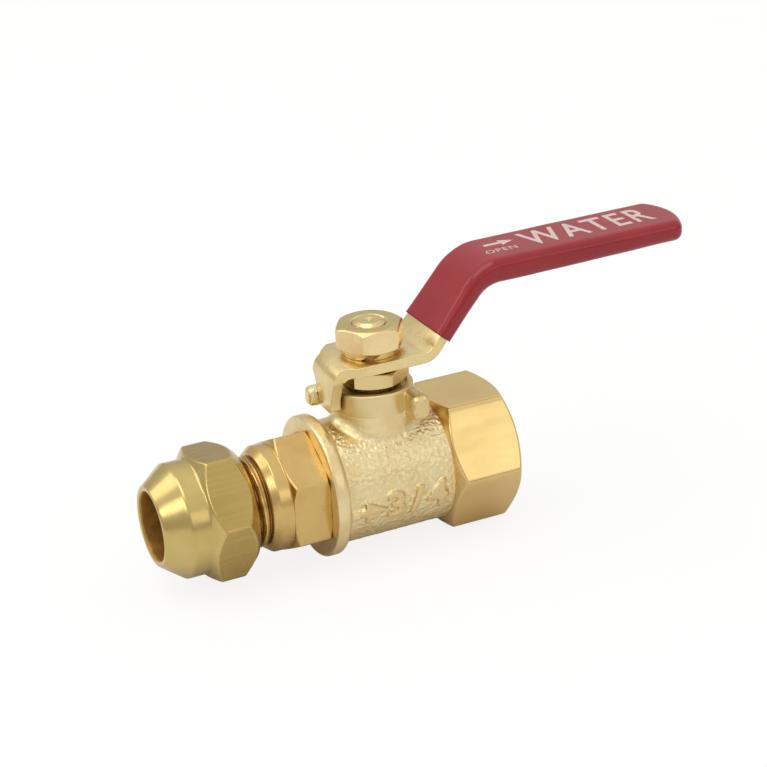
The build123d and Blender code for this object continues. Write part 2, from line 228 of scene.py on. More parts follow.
def wrap_text(words, height, relief, levels, width=None, bold=0.0, rounding=0.0):
    """Raised letters as a bmesh in their own plane, in millimetres, cut into thin levels."""
    curve = bpy.data.curves.new("letters", "FONT")
    curve.body = words
    curve.size = height
    curve.extrude = relief / 2 - rounding
    curve.bevel_depth = rounding
    curve.offset = bold
    curve.align_x = "CENTER"
    curve.align_y = "CENTER"
    curve.space_character = 1.3 if rounding else 1.15
    draft = bpy.data.objects.new("letters", curve)
    bpy.context.scene.collection.objects.link(draft)
    data = bpy.data.meshes.new_from_object(draft.evaluated_get(bpy.context.evaluated_depsgraph_get()))
    bpy.data.objects.remove(draft)
    mesh = bmesh.new()
    mesh.from_mesh(data)
    bmesh.ops.remove_doubles(mesh, verts=mesh.verts, dist=1e-4)
    wide = max(v.co.x for v in mesh.verts) - min(v.co.x for v in mesh.verts)
    if width:
        bmesh.ops.scale(mesh, vec=(width / wide, 1, 1), verts=mesh.verts)
        wide = width
    for k in range(1, levels):
        for direction, span in ((Vector((0, 1, 0)), height), (Vector((1, 0, 0)), wide)):
            place = direction * span * (k / levels - 0.5)
            geometry = mesh.verts[:] + mesh.edges[:] + mesh.faces[:]
            bmesh.ops.bisect_plane(mesh, geom=geometry, plane_co=place, plane_no=direction)
    return mesh


# How wide an arrow's top is, as a share of its foot
ARROW_TOP = 0.85


def arrow_mesh(length, width, relief):
    """Arrow pointing along +X, as a bmesh in its own plane, in millimetres."""
    half, neck = length / 2, length / 2 - width * 0.9
    outline = [
        (-half, -width / 6),
        (neck, -width / 6),
        (neck, -width / 2),
        (half, 0),
        (neck, width / 2),
        (neck, width / 6),
        (-half, width / 6),
    ]
    mesh = bmesh.new()
    bottom = [mesh.verts.new((x, y, -relief / 2)) for x, y in outline]
    top = [mesh.verts.new(vert.co) for vert in bottom]
    for vert in top:
        vert.co.z += relief
        vert.co.y *= ARROW_TOP
    # Made one by one, because an extrusion lists its sides in a different order each run.
    mesh.faces.new(bottom)
    mesh.faces.new(top)
    for i in range(len(outline)):
        after = (i + 1) % len(outline)
        mesh.faces.new((bottom[i], bottom[after], top[after], top[i]))
    bmesh.ops.recalc_face_normals(mesh, faces=mesh.faces)
    bmesh.ops.triangulate(mesh, faces=mesh.faces)
    return mesh


# ------------------------------------------------------------------- materials
class Look:
    """A Principled material, with short calls for the nodes that vary it."""

    def __init__(self, name, colour, roughness, metallic=1.0, **sockets):
        self.material = bpy.data.materials.new(name)
        self.material.use_nodes = True
        self.tree = self.material.node_tree
        self.shader = self.tree.nodes["Principled BSDF"]
        self.shader.inputs["Base Color"].default_value = (*colour, 1)
        self.shader.inputs["Roughness"].default_value = roughness
        self.shader.inputs["Metallic"].default_value = metallic
        for key, value in sockets.items():
            self.shader.inputs[key.replace("_", " ")].default_value = value
        self.place = self.tree.nodes.new("ShaderNodeTexCoord").outputs["Object"]

    def add(self, kind, links=(), **settings):
        node = self.tree.nodes.new("ShaderNode" + kind)
        for key, value in settings.items():
            if key in node.inputs:
                node.inputs[key].default_value = value
            else:
                setattr(node, key, value)
        for key, socket in dict(links).items():
            self.tree.links.new(socket, node.inputs[key])
        return node

    def noise(self, size, detail=3.0, stretch=(1, 1, 1), roughness=0.55):
        """Noise whose grains are about a size in millimetres across."""
        spread = self.add("Mapping", {"Vector": self.place}, Scale=stretch)
        grain = self.add(
            "TexNoise", {"Vector": spread.outputs["Vector"]},
            Scale=1 / (size * MM), Detail=detail, Roughness=roughness,
        )
        return grain.outputs["Fac"]

    def cells(self, size):
        grain = self.add("TexVoronoi", {"Vector": self.place}, Scale=1 / (size * MM))
        return grain.outputs["Distance"]

    def bands(self, spacing, axis, waver=0.6):
        """Fine tool marks a spacing in millimetres apart along an axis."""
        marks = self.add("TexWave", {"Vector": self.place}, bands_direction=axis, wave_profile="SIN")
        marks.inputs["Scale"].default_value = TAU / 20 / (spacing * MM)
        marks.inputs["Distortion"].default_value = waver
        marks.inputs["Detail"].default_value = 0
        return marks.outputs["Fac"]

    def pipe_radius(self):
        """Distance from the pipe axis, in millimetres."""
        across = self.add("VectorMath", {0: self.place}, operation="MULTIPLY")
        across.inputs[1].default_value = (0, 1 / MM, 1 / MM)
        length = self.add("VectorMath", {0: across.outputs["Vector"]}, operation="LENGTH")
        return length.outputs["Value"]

    def product(self, first, second):
        return self.add("Math", {0: first, 1: second}, operation="MULTIPLY").outputs["Value"]

    def painted(self, name):
        """Value that the mesh carries at its points."""
        return self.add("Attribute", attribute_name=name).outputs["Fac"]

    def levels(self, value, low, high, to_low, to_high):
        scaled = self.add("MapRange", {"Value": value})
        keys = ("From Min", "From Max", "To Min", "To Max")
        for key, number in zip(keys, (low, high, to_low, to_high)):
            scaled.inputs[key].default_value = number
        return scaled.outputs["Result"]

    def tint(self, value, low, high, colour):
        """Mixes another colour in as a value goes from low to high."""
        mix = self.add("Mix", data_type="RGBA")
        self.tree.links.new(self.levels(value, low, high, 0, 1), mix.inputs["Factor"])
        base = self.shader.inputs["Base Color"]
        first, second = mix.inputs[6], mix.inputs[7]
        first.default_value = base.default_value
        if base.is_linked:
            self.tree.links.new(base.links[0].from_socket, first)
        second.default_value = (*colour, 1)
        self.tree.links.new(mix.outputs[2], base)
        return self

    def rough(self, value, low, high, to_low, to_high):
        change = self.levels(value, low, high, to_low, to_high)
        self.tree.links.new(change, self.shader.inputs["Roughness"])
        return self

    def bump(self, value, depth):
        """Bump of a depth in millimetres, on top of any there is."""
        bump = self.add("Bump", {"Height": value}, Distance=depth * MM)
        normal = self.shader.inputs["Normal"]
        if normal.is_linked:
            self.tree.links.new(normal.links[0].from_socket, bump.inputs["Normal"])
        self.tree.links.new(bump.outputs["Normal"], normal)
        return self


def cast_bronze():
    look = Look("cast_bronze_skin", (0.81, 0.67, 0.365), 0.34)
    look.tint(look.noise(7, 3), 0.42, 0.64, (0.75, 0.585, 0.295))
    grain = look.product(look.noise(1.0, 1.0), look.painted(SKIN))
    look.tint(grain, 0.50, 0.70, (0.86, 0.75, 0.46))
    look.rough(look.noise(1.6, 3), 0.35, 0.65, 0.30, 0.42)
    # Painted shade: the raised legend is tinted darker so its letters show as shaded strokes.
    look.tint(look.painted(LEGEND_SHADE), 0, 1, (0.74, 0.565, 0.28))
    look.bump(grain, 0.30)
    look.bump(look.product(look.cells(0.7), look.painted(SKIN)), 0.04)
    return look.material


def polished_bronze():
    look = Look("polished_bronze", (0.77, 0.56, 0.235), 0.2)
    look.tint(look.noise(11, 3), 0.4, 0.65, (0.735, 0.52, 0.205))
    look.rough(look.noise(3, 4, (0.3, 1, 1)), 0.35, 0.65, 0.16, 0.25)
    look.bump(look.noise(0.6, 1, (0.06, 1, 1)), 0.004)
    return look.material


def turned_brass(name, colour, shade, axis, roughness):
    look = Look(name, colour, roughness)
    look.tint(look.noise(9, 2), 0.42, 0.66, shade)
    look.rough(look.noise(3, 3), 0.35, 0.65, roughness - 0.03, roughness + 0.05)
    look.bump(look.bands(0.55, axis), 0.004)
    return look


def adaptor_brass():
    """Turned brass, darker below the thread's crests: painted shade in its grooves and in the bore."""
    look = turned_brass("turned_brass", (0.66, 0.46, 0.175), (0.61, 0.40, 0.14), "X", 0.23)
    # Painted shade: darker colour wherever the radius is below the thread's crests.
    look.tint(look.pipe_radius(), FLARE_RADIUS - 0.15, FLARE_RADIUS - 0.6, (0.30, 0.165, 0.05))
    return look.material


def olive_brass():
    """Drawn hexagon bar: fine streaks along the pipe."""
    look = turned_brass("olive_brass", (0.485, 0.345, 0.112), (0.45, 0.315, 0.095), "X", 0.25)
    look.tint(look.noise(0.9, 1, (0.03, 1, 1)), 0.45, 0.75, (0.52, 0.38, 0.13))
    return look.material


def bore_brass():
    # Rougher brass for the inside of the flare nut, with painted shade: its darker, browner colour
    # stands in for the shade and the brass reflected inside the bore.
    look = Look("rough_bore_painted_shade", (0.50, 0.26, 0.045), 0.55, 0.8)
    look.tint(look.noise(2.5, 3), 0.4, 0.65, (0.37, 0.18, 0.03))
    look.bump(look.bands(0.5, "X"), 0.02)
    return look.material


def pale_plating(name, colour, shade):
    look = Look(name, colour, 0.28)
    look.tint(look.noise(9, 3), 0.42, 0.62, shade)
    look.rough(look.noise(2, 3, (0.4, 1, 1)), 0.35, 0.65, 0.22, 0.36)
    look.bump(look.noise(1.4, 0), 0.005)
    return look.material


def red_vinyl():
    look = Look("red_dipped_vinyl", (0.27, 0.008, 0.013), 0.2, 0.0, Specular_IOR_Level=0.45)
    look.tint(look.noise(14, 3), 0.42, 0.66, (0.30, 0.011, 0.016))
    look.rough(look.noise(6, 3), 0.35, 0.65, 0.14, 0.24)
    look.bump(look.noise(2.2, 1), 0.012)
    return look.material


def white_print():
    look = Look("white_print", (0.62, 0.49, 0.45), 0.45, 0.0)
    look.tint(look.noise(0.8, 4), 0.54, 0.74, (0.42, 0.18, 0.16))
    return look.material


def plain_seal(name, colour, shade, roughness):
    look = Look(name, colour, roughness, 0.0)
    look.tint(look.noise(3, 3), 0.42, 0.62, shade)
    look.bump(look.noise(0.3, 2), 0.01)
    return look.material


def ball_chrome():
    look = Look("ball_chrome", (0.74, 0.74, 0.76), 0.08)
    look.tint(look.noise(4, 3), 0.45, 0.65, (0.66, 0.66, 0.69))
    look.rough(look.noise(2, 4), 0.35, 0.65, 0.05, 0.14)
    return look.material


CAST = cast_bronze()
FACET = polished_bronze()
BRASS = adaptor_brass()
NUT_BRASS = olive_brass()
NUT_TURNED = turned_brass(
    "bright_turned_brass", (0.60, 0.46, 0.175), (0.56, 0.415, 0.15), "X", 0.21,
).material
NUT_BORE_SHADE = bore_brass()
STEM_BRASS = turned_brass(
    "turned_brass_stem", (0.74, 0.58, 0.28), (0.68, 0.50, 0.22), "Z", 0.27,
).material
NECK = turned_brass("satin_neck", (0.76, 0.62, 0.33), (0.72, 0.56, 0.28), "Z", 0.36).material
PLATING = pale_plating("pale_gold_plating", (0.80, 0.645, 0.325), (0.75, 0.58, 0.275))
# Lighter and darker copies of the plating for the lever nut: painted light on its sides, painted shade
# on its top.
LIT_SIDE_PLATING = pale_plating("plating_painted_light", (0.85, 0.67, 0.36), (0.80, 0.61, 0.31))
SHADED_TOP_PLATING = pale_plating("plating_painted_top_shade", (0.64, 0.51, 0.22), (0.60, 0.47, 0.19))
VINYL = red_vinyl()
PRINT = white_print()
PTFE = plain_seal("ptfe", (0.85, 0.84, 0.80), (0.78, 0.76, 0.70), 0.42)
FIBRE = plain_seal("fibre_seal", (0.34, 0.10, 0.06), (0.26, 0.07, 0.04), 0.7)
CHROME = ball_chrome()
WASHER_SLIT_SHADE = plain_seal("washer_slit_painted_shade", (0.56, 0.30, 0.11), (0.44, 0.21, 0.07), 0.5)


def finish_piece(obj, material, body, slot, *nodes):
    """Gives a piece its material, its body and the CAD nodes it stands for. Its slot is not used."""
    obj.data.materials.clear()
    obj.data.materials.append(material)
    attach(obj, body)
    if nodes:
        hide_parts(*nodes)
    return obj


# ----------------------------------------------------------------- cast body
BODY_RADIUS = 15.1
BOSS_RADIUS = 9.7
BOSS_MACHINED = 17.4
BEAD_END = body_left + 3.8
HEX_CONE_START = 13.45
HEX_LEFT, HEX_RIGHT = 15.4, 29.6
HEX_FLATS = 32.0
HEX_CORNER = HEX_FLATS / math.sqrt(3)
OUTLET_WALL, OUTLET_WALL_LENGTH, OUTLET_THREAD_LENGTH = 13.22, 15.5, 15.4
WATER_WAY = 7.5
BOSS_BORE, BOSS_MOUTH = 6.95, 8.3
CAST_VOXEL = 0.3
CAST_CUT = 14.2
LEGEND_ANGLE = 0.16
LEGEND_RELIEF = 2.3
LEGEND_ROUNDING = 0.42
LEGEND_HEIGHT, LEGEND_WIDTH, LEGEND_STATION = 8.8, 16.0, 3.2
CAST_ARROW_LENGTH, CAST_ARROW_WIDTH, CAST_ARROW_STATION = 9.6, 6.4, -9.3
LEGEND_SIDE = -11
NECK_ROOT_RADIUS = 12.6
NECK_ROOT_HEIGHT, NECK_ROOT_END = 12.6, 14
NECK_EMERGES = BOSS_MACHINED + 0.6


def on_barrel(mesh, station, angle):
    """Wraps a flat mesh round the barrel, facing -Y and turned down by an angle."""
    for vert in mesh.verts:
        turn = TAU / 2 + angle - vert.co.y / BODY_RADIUS
        vert.co = place_pipe(station + vert.co.x, BODY_RADIUS - 0.1 + vert.co.z, turn)


def ramp(value, low, high):
    """0 below low, 1 above high, and a straight rise between."""
    return min(max((value - low) / (high - low), 0), 1)


def cast_share(point):
    """How rough the casting is at a point: 1 on the cast skin, 0 where it is machined."""
    x, y, z = point / MM
    station = x - ball_x
    radius, about_stem = math.hypot(y, z), math.hypot(station, y)
    if about_stem < BOSS_RADIUS + 0.3 and z > BOSS_MACHINED - 1:
        return 0.0
    if radius < BODY_RADIUS - 0.8:
        return 0.0
    near_stem = 1 - ramp(about_stem, NECK_ROOT_RADIUS - 1, NECK_ROOT_RADIUS)
    on_neck = near_stem * ramp(z, NECK_ROOT_HEIGHT, NECK_ROOT_END)
    bead = ramp(station, BEAD_END + 0.2, BEAD_END + 1.7)
    return (0.3 + 0.7 * bead) * (1 - 0.8 * on_neck)


def legend_share(point):
    """1 on the raised legend and arrow of the barrel's front, 0 elsewhere."""
    x, y, z = point / MM
    along = BEAD_END + 2.2 < x - ball_x < HEX_CONE_START - 1.5
    if not along or y >= LEGEND_SIDE:
        return 0.0
    return ramp(math.hypot(y, z), BODY_RADIUS + 0.2, BODY_RADIUS + 0.6)


def build_casting():
    mesh = cad_mesh("body_casting")
    # The outlet hexagon is a piece of its own, so the casting is tucked in to end inside it.
    for vert in mesh.verts:
        station = vert.co.x / MM - ball_x
        radius = math.hypot(vert.co.y, vert.co.z) / MM
        if station > HEX_CONE_START - 0.3 and radius > BODY_RADIUS:
            vert.co.y *= BODY_RADIUS / radius
            vert.co.z *= BODY_RADIUS / radius
        vert.co.x = min(station, CAST_CUT) * MM + ball_x * MM
    legend = wrap_text(
        "3/4", LEGEND_HEIGHT, LEGEND_RELIEF, levels=8, width=LEGEND_WIDTH, rounding=LEGEND_ROUNDING,
    )
    on_barrel(legend, LEGEND_STATION, LEGEND_ANGLE)
    arrow = arrow_mesh(CAST_ARROW_LENGTH, CAST_ARROW_WIDTH, LEGEND_RELIEF)
    on_barrel(arrow, CAST_ARROW_STATION, LEGEND_ANGLE)
    for extra in (legend, arrow):
        data = bpy.data.meshes.new("legend")
        extra.to_mesh(data)
        extra.free()
        mesh.from_mesh(data)
    data = evaluated(
        "cast_body", mesh,
        ("REMESH", {"mode": "VOXEL", "voxel_size": CAST_VOXEL * MM}),
        ("SMOOTH", {"factor": 0.5, "iterations": 3}),
    )
    normals = [vert.normal.copy() for vert in data.vertices]
    skin = data.attributes.new(SKIN, "FLOAT", "POINT")
    raised = data.attributes.new(LEGEND_SHADE, "FLOAT", "POINT")
    for vert, normal in zip(data.vertices, normals):
        share = cast_share(vert.co)
        skin.data[vert.index].value = share
        raised.data[vert.index].value = legend_share(vert.co)
        place = vert.co / MM
        if share:
            grain = 0.07 * noise.noise(place * 1.15) + 0.05 * noise.noise(place * 2.1)
            dents = 0.05 * noise.noise(place * 0.3)
            vert.co += normal * (share * (grain + dents - 0.03)) * MM
        elif place.z > BOSS_MACHINED:
            offset = Vector((place.x - ball_x, place.y, 0))
            if BOSS_RADIUS - 0.6 < offset.length < BOSS_RADIUS + 0.3:
                tuck = offset.normalized() * 0.2
                vert.co -= tuck * ramp(place.z, NECK_EMERGES, NECK_EMERGES + 0.6) * MM
    body = data_object("cast_body", data, 75)
    return finish_piece(body, CAST, "valve_body", "cast_bronze", "body_casting")


def build_outlet_hexagon():
    corner = HEX_CORNER - 0.1
    outline = [
        (HEX_CONE_START, WATER_WAY),
        (HEX_CONE_START, BODY_RADIUS - 0.05),
        (HEX_LEFT, corner),
        (HEX_RIGHT, corner),
        (outlet, 15.35),
        (outlet, OUTLET_WALL + 0.5),
        (outlet - 0.5, OUTLET_WALL),
        (outlet - OUTLET_WALL_LENGTH, OUTLET_WALL),
        (outlet - 17.0, WATER_WAY),
    ]
    shapes = [
        hexagon(HEX_FLATS, 0, HEX_CONE_START, outlet, 0.5),
        thread(PIPE_PITCH, 1.1, outlet - OUTLET_THREAD_LENGTH, outlet - 0.3, OUTLET_WALL),
    ]
    piece = lathe("outlet_hexagon", outline, place_pipe, shapes, 0.3, 0.22, hex_angles(0))
    return finish_piece(piece, FACET, "valve_body", "cast_bronze")


def build_boss_neck():
    mouth_floor = boss_top - 2.0
    outline = [
        (BOSS_MACHINED, BOSS_BORE),
        (BOSS_MACHINED, BOSS_RADIUS - 0.3),
        (NECK_EMERGES, BOSS_RADIUS + 0.02),
        (boss_top - 0.4, BOSS_RADIUS + 0.02),
        (boss_top, BOSS_RADIUS - 0.4),
        (boss_top, BOSS_MOUTH + 0.1),
        (boss_top - 0.1, BOSS_MOUTH),
        (mouth_floor, BOSS_MOUTH),
        (mouth_floor, BOSS_BORE),
    ]
    piece = lathe("boss_neck", outline, place_stem, (), 0.2, 0.4)
    return finish_piece(piece, NECK, "valve_body", "cast_bronze")


# --------------------------------------------------------------- end fittings
ADAPTOR_TURN = math.radians(-27.3)
ADAPTOR_FLATS = 26.2
ADAPTOR_CORNER = ADAPTOR_FLATS / math.sqrt(3)
ADAPTOR_HEX_LEFT = -27.2
COLLAR_RADIUS, COLLAR_TAPER, COLLAR_LEFT, COLLAR_FOOT = 12.9, -30.2, -32.0, 11.5
FLARE_END = -47.2
NUT_TURN = math.radians(-8.2)
NUT_FLATS = 29.3
NUT_BORE_RADIUS = 8.2
NUT_CONE_END, NUT_NECK_END, NUT_NECK_RADIUS = -52.4, -47.6, 13.8
NUT_HEX_LEFT, NUT_HEX_RIGHT = -45.4, -39.6
NUT_THROAT, NUT_SEAT_LEFT, NUT_SEAT_RIGHT = -51.0, -50.4, -48.4


def build_adaptor():
    corner = ADAPTOR_CORNER - 0.08
    outline = [
        (-8.6, 10.8),
        (-8.6, 12.2),
        (-9.2, 12.7),
        (body_left, 12.7),
        (body_left, corner - 0.8),
        (body_left - 0.45, corner),
        (ADAPTOR_HEX_LEFT + 0.9, corner),
        (ADAPTOR_HEX_LEFT, corner - 1.55),
        (ADAPTOR_HEX_LEFT, COLLAR_RADIUS),
        (COLLAR_TAPER, COLLAR_RADIUS),
        (COLLAR_LEFT, COLLAR_FOOT),
        (COLLAR_LEFT, 10.4),
        (COLLAR_LEFT - 0.4, 10.4),
        (COLLAR_LEFT - 0.8, FLARE_RADIUS),
        (FLARE_END, FLARE_RADIUS),
        (FLARE_END - 0.6, 9.3),
        (FLARE_END - 2.7, 7.2),
        (FLARE_END - 2.7, 6.5),
        (-12.0, 6.5),
        (-11.0, 7.5),
        (-11.0, 10.8),
    ]
    shapes = [
        hexagon(ADAPTOR_FLATS, ADAPTOR_TURN, ADAPTOR_HEX_LEFT - 0.01, body_left + 0.01),
        thread(PIPE_PITCH, PIPE_DEPTH, FLARE_END, COLLAR_LEFT - 0.4, FLARE_RADIUS),
    ]
    piece = lathe("adaptor_turned", outline, place_pipe, shapes, 0.18, 0.22, hex_angles(ADAPTOR_TURN))
    return finish_piece(piece, BRASS, "valve_body", "machined_brass", "end_adaptor")


def build_flare_nut():
    corner = NUT_FLATS / math.sqrt(3) - 0.08
    wall = FLARE_RADIUS + 0.08
    outline = [
        (nut_mouth, NUT_BORE_RADIUS + 0.5),
        (nut_mouth, 9.5),
        (nut_mouth + 0.3, 9.8),
        (NUT_CONE_END, NUT_NECK_RADIUS),
        (NUT_NECK_END, NUT_NECK_RADIUS),
        (NUT_HEX_LEFT, corner),
        (NUT_HEX_RIGHT, corner),
        (nut_right, 13.5),
        (nut_right, wall + 0.8),
        (nut_right - 0.8, wall),
        (NUT_SEAT_RIGHT, wall),
        (NUT_SEAT_LEFT, NUT_BORE_RADIUS),
        (nut_mouth + 0.5, NUT_BORE_RADIUS),
    ]
    shapes = [hexagon(NUT_FLATS, NUT_TURN, -47.7, nut_right)]
    piece = lathe("flare_nut_turned", outline, place_pipe, shapes, 0.3, 0.22, hex_angles(NUT_TURN))
    finish_piece(piece, NUT_BRASS, "flare_nut", "nut_brass", "flare_nut")
    piece.data.materials.append(NUT_BORE_SHADE)
    piece.data.materials.append(NUT_TURNED)
    # Faces inside the bore and behind the throat take the bore's painted shade; the other turned faces
    # take the brighter turned brass.
    for face in piece.data.polygons:
        radius = math.hypot(face.center.y, face.center.z) / MM
        inside = radius < NUT_BORE_RADIUS + 0.3
        behind = face.center.x > (ball_x + NUT_THROAT) * MM and radius < wall
        flat = abs(face.normal.x) < 0.15 and radius > 14.4
        if not flat:
            face.material_index = 1 if inside or behind else 2
    return piece


# ------------------------------------------------------ stem, gland and lever
SPINDLE_RADIUS = 4.0
STEM_RADIUS = 4.5
SPINDLE_HALF_FLATS = 3.0
TONGUE_BOTTOM, TONGUE_RADIUS = 8.5, 2.4
FLANGE_BOTTOM, FLANGE_TOP, FLANGE_RADIUS = 11.9, 13.4, 6.0
PLATE_BOTTOM, PLATE_TOP = 28.8, 31.3
GLAND_HEX_BOTTOM, GLAND_TOP = 24.4, 28.0
GLAND_FLATS, GLAND_TURN = 15.5, math.radians(38.0)
GLAND_HOLE, GLAND_SHANK = 4.6, 6.85
LEVER_NUT_FLATS, LEVER_NUT_TURN = 15.0, math.radians(56.4)
WASHER_INNER, WASHER_OUTER, WASHER_SPLIT = 4.1, 6.8, math.radians(246.0)
STRIP_ROUNDING = 0.38


def build_stem():
    outline = [
        (TONGUE_BOTTOM, 0.0),
        (TONGUE_BOTTOM, TONGUE_RADIUS),
        (FLANGE_BOTTOM, TONGUE_RADIUS),
        (FLANGE_BOTTOM, FLANGE_RADIUS),
        (FLANGE_TOP, FLANGE_RADIUS),
        (FLANGE_TOP, STEM_RADIUS),
        (PLATE_BOTTOM, STEM_RADIUS),
        (PLATE_BOTTOM, SPINDLE_RADIUS),
        (spindle_top - 0.7, SPINDLE_RADIUS),
        (spindle_top, SPINDLE_RADIUS - 1.0),
        (spindle_top, 1.3),
        (spindle_top - 0.5, 0.0),
    ]

    def flats(station, radius, angle):
        if PLATE_BOTTOM < station < PLATE_TOP and radius > SPINDLE_HALF_FLATS:
            return min(radius, SPINDLE_HALF_FLATS / max(abs(math.sin(angle)), 0.01))
        return radius

    shapes = [flats, thread(SPINDLE_PITCH, SPINDLE_DEPTH, PLATE_TOP, spindle_top + 1, SPINDLE_RADIUS)]
    piece = lathe("stem_spindle", outline, place_stem, shapes, 0.12, 0.16)
    return finish_piece(piece, STEM_BRASS, "lever_assembly", "machined_brass", "stem")


def nut_outline(bottom, top, corner, hole, low_trim, high_trim):
    """Outline of a plain hexagon nut about the stem, its corners turned off at 30 degrees."""
    slope = math.tan(TAU / 12)
    return [
        (bottom, hole + 0.4),
        (bottom, corner - low_trim / slope),
        (bottom + low_trim, corner),
        (top - high_trim, corner),
        (top, corner - high_trim / slope),
        (top, hole + 0.5),
        (top - 0.5, hole),
        (bottom + 0.4, hole),
    ]


def build_gland():
    corner = GLAND_FLATS / math.sqrt(3)
    gland_bottom = gland_low.z / MM
    outline = nut_outline(GLAND_HEX_BOTTOM, GLAND_TOP, corner - 0.05, GLAND_HOLE, 0.5, 0.6)
    # A shank below the hexagon takes the place of the nut's lower hole edge.
    outline[0:1] = [
        (gland_bottom, GLAND_HOLE),
        (gland_bottom, GLAND_SHANK),
        (GLAND_HEX_BOTTOM, GLAND_SHANK),
    ]
    outline[-1:] = []
    shapes = [hexagon(GLAND_FLATS, GLAND_TURN, GLAND_HEX_BOTTOM - 0.01, GLAND_TOP, 0.25)]
    angles = hex_angles(GLAND_TURN)
    piece = lathe("gland_nut_turned", outline, place_stem, shapes, 0.15, 0.16, angles)
    return finish_piece(piece, STEM_BRASS, "valve_body", "machined_brass", "gland_nut")


def build_lever_nut():
    corner = LEVER_NUT_FLATS / math.sqrt(3)
    outline = nut_outline(lever_nut_bottom, lever_nut_top, corner - 0.05, SPINDLE_RADIUS, 0.9, 0.9)
    shapes = [
        hexagon(LEVER_NUT_FLATS, LEVER_NUT_TURN, lever_nut_bottom, lever_nut_top, 0.5),
        thread(SPINDLE_PITCH, 0.5, lever_nut_bottom, lever_nut_top, SPINDLE_RADIUS),
    ]
    angles = hex_angles(LEVER_NUT_TURN)
    piece = lathe("lever_nut_turned", outline, place_stem, shapes, 0.3, 0.16, angles)
    finish_piece(piece, LIT_SIDE_PLATING, "lever_assembly", "plated_steel", "lever_nut")
    piece.data.materials.append(SHADED_TOP_PLATING)
    # Painted shade: faces turned upwards take the darker copy of the plating, and the rest take the
    # lighter copy as painted light.
    for face in piece.data.polygons:
        face.material_index = int(face.normal.z > 0.8)
    return piece


def build_spring_washer():
    outline = [
        (washer_bottom, WASHER_INNER),
        (washer_bottom, WASHER_OUTER),
        (washer_top, WASHER_OUTER),
        (washer_top, WASHER_INNER),
    ]
    middle = (washer_bottom + washer_top) / 2
    half_gap, slant, depth = 0.15, 0.24, 0.7

    def slit(height, radius, angle):
        """The slanted slit between the coil's ends, cut shallow; its brown floor is painted shade for
        the gap.
        """
        centre = WASHER_SPLIT + slant * (height - middle)
        away = abs((angle - centre + TAU / 2) % TAU - TAU / 2)
        return radius - depth * ramp(half_gap + 0.05 - away, 0, 0.05) * ramp(radius, 5.5, 6.2)

    piece = lathe("split_washer", outline, place_stem, [slit], 0.25, 0.2)
    finish_piece(piece, PLATING, "lever_assembly", "steel_washer", "spring_washer")
    piece.data.materials.append(WASHER_SLIT_SHADE)
    # Painted shade: the slit's floor and walls take the brown material that stands in for the shaded
    # gap.
    for face in piece.data.polygons:
        height = face.center.z / MM
        offset = Vector((face.center.x / MM - ball_x, face.center.y / MM))
        between = washer_bottom + 0.1 < height < washer_top - 0.1
        face.material_index = int(between and 5.0 < offset.length < 6.7)
    return piece


def build_lever():
    mesh = cad_mesh("lever")
    bmesh.ops.dissolve_limit(mesh, angle_limit=math.radians(1), verts=mesh.verts, edges=mesh.edges)
    rounded_edges = {
        "width": STRIP_ROUNDING * MM,
        "segments": 3,
        "limit_method": "ANGLE",
        "angle_limit": math.radians(50),
    }
    data = evaluated("lever_strip", mesh, ("BEVEL", rounded_edges))
    strip = data_object("lever_strip", data)
    return finish_piece(strip, PLATING, "lever_assembly", "plated_steel", "lever")


RISE_RUN, GRIP_RISE = 15.1, 17.6
SLEEVE_VOXEL = 0.33
THIN_AT_MOUTH, THICK_UNDER_GRIP = 0.55, 0.8


def build_sleeve():
    data = evaluated(
        "dipped_sleeve", cad_mesh("lever_sleeve"),
        ("REMESH", {"mode": "VOXEL", "voxel_size": SLEEVE_VOXEL * MM}),
        ("SMOOTH", {"factor": 0.5, "iterations": 4}),
    )
    normals = [vert.normal.copy() for vert in data.vertices]
    mouth, tip = sleeve_low.x / MM, sleeve_high.x / MM
    rise = Vector((RISE_RUN, 0, GRIP_RISE)).normalized()
    for vert, normal in zip(data.vertices, normals):
        x = vert.co.x / MM
        wave = 0.07 * noise.noise(vert.co / MM * 0.12) - 0.09
        # The dip runs thin towards the mouth, and thick under the grip by the bend.
        thinned = THIN_AT_MOUTH * (1 - ramp(x, mouth + 2, mouth + 16))
        run = THICK_UNDER_GRIP * ramp(x, mouth + 9, mouth + 19) * (1 - ramp(x, tip - 45, tip - 8))
        across = normal - rise * normal.dot(rise)
        if across.length > 0.25:
            vert.co -= across.normalized() * thinned * MM
        vert.co += normal * wave * MM
        vert.co.z -= run * ramp(-normal.z, 0.0, 0.7) * MM
    piece = data_object("dipped_sleeve", data, 60)
    return finish_piece(piece, VINYL, "lever_assembly", "red_vinyl", "lever_sleeve")


PRINT_RELIEF = 0.2


def print_on(sleeve, name, mesh, x, y):
    """Lays a flat mesh on the sleeve's top as a thin print."""
    corners = [vert.co for vert in sleeve.data.vertices]
    surface = BVHTree.FromPolygons(corners, [face.vertices for face in sleeve.data.polygons])
    lift = 0.02 * MM
    for vert in mesh.verts:
        top = vert.co.z > 0
        place = Vector(((x + vert.co.x) * MM, (y + vert.co.y) * MM, 2 * sleeve_high.z))
        hit = surface.ray_cast(place, Vector((0, 0, -1)))[0]
        vert.co = hit + Vector((0, 0, lift if top else -lift))
    return finish_piece(mesh_object(name, mesh), PRINT, "lever_assembly", "red_vinyl")


